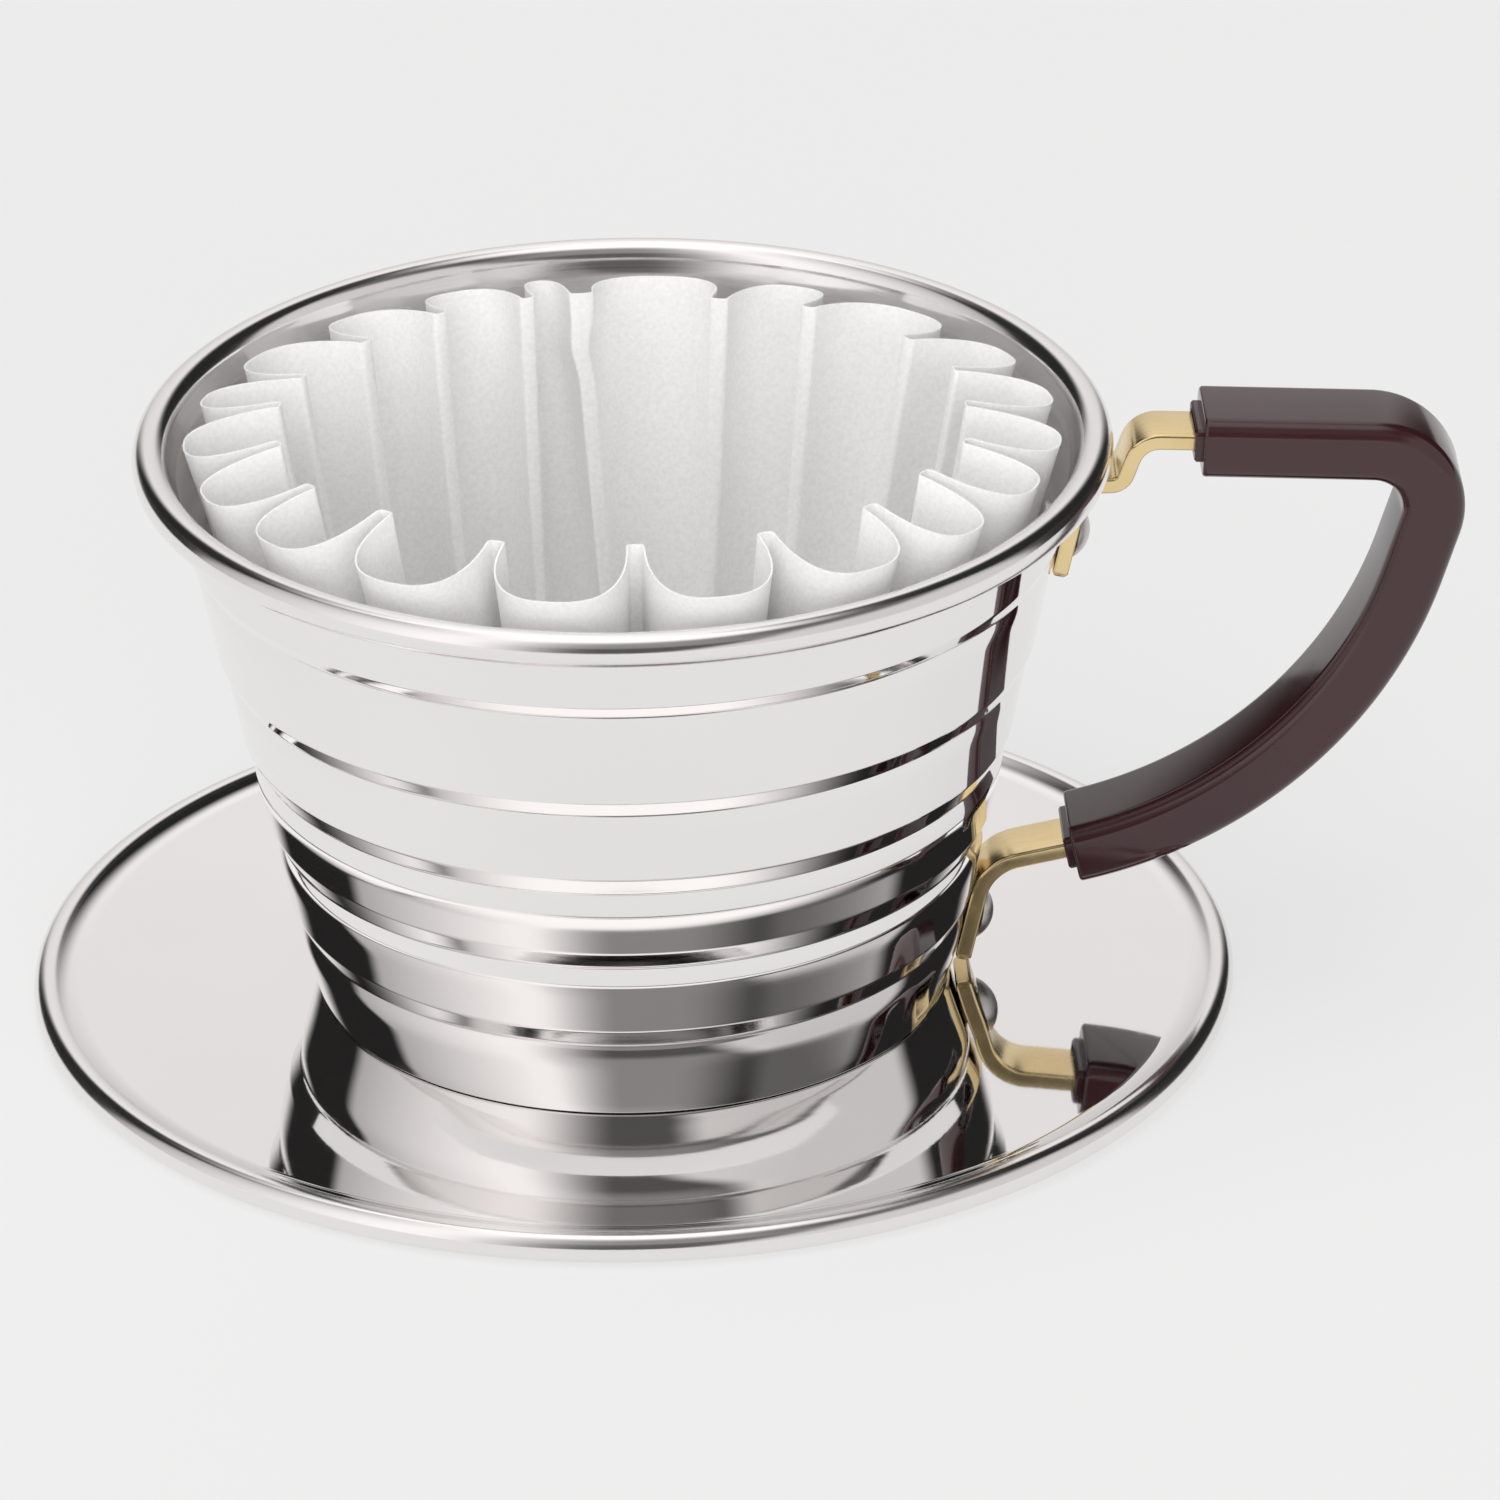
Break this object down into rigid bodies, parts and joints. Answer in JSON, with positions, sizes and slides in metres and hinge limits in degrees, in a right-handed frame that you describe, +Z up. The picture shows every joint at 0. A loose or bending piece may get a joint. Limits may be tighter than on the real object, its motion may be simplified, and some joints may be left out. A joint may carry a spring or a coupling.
{
  "type": "pour over dripper",
  "caption": "Steel pour over coffee dripper: stepped conical cup on a round saucer, riveted strap handle with a moulded grip, and a lift-out pleated paper filter.",
  "frame": {"origin": "on the cup's axis, in the plane that the saucer's rolled edge and the cup's floor stand on", "axes": "+Z up along the cup's axis, +X towards the handle, +Y completes a right-handed frame"},
  "size_m": [0.1425, 0.12, 0.0622],
  "materials": {
    "mirror_steel": "polished",
    "strap_brass": "satin",
    "grip_plastic": "gloss",
    "rivet_steel": "satin",
    "filter_paper": "matte"
  },
  "bodies": {
    "dripper": {"saucer": "mirror_steel", "cup": "mirror_steel", "handle_strap": "strap_brass", "grip": "grip_plastic", "upper_rivet": "rivet_steel", "lower_rivet": "rivet_steel"},
    "filter": {"paper_filter": "filter_paper"}
  },
  "joints": [
    {"name": "filter_lift", "type": "slide", "parent": "dripper", "child": "filter", "axis": [0, 0, 1], "range_m": [0, 0.07]}
  ]
}
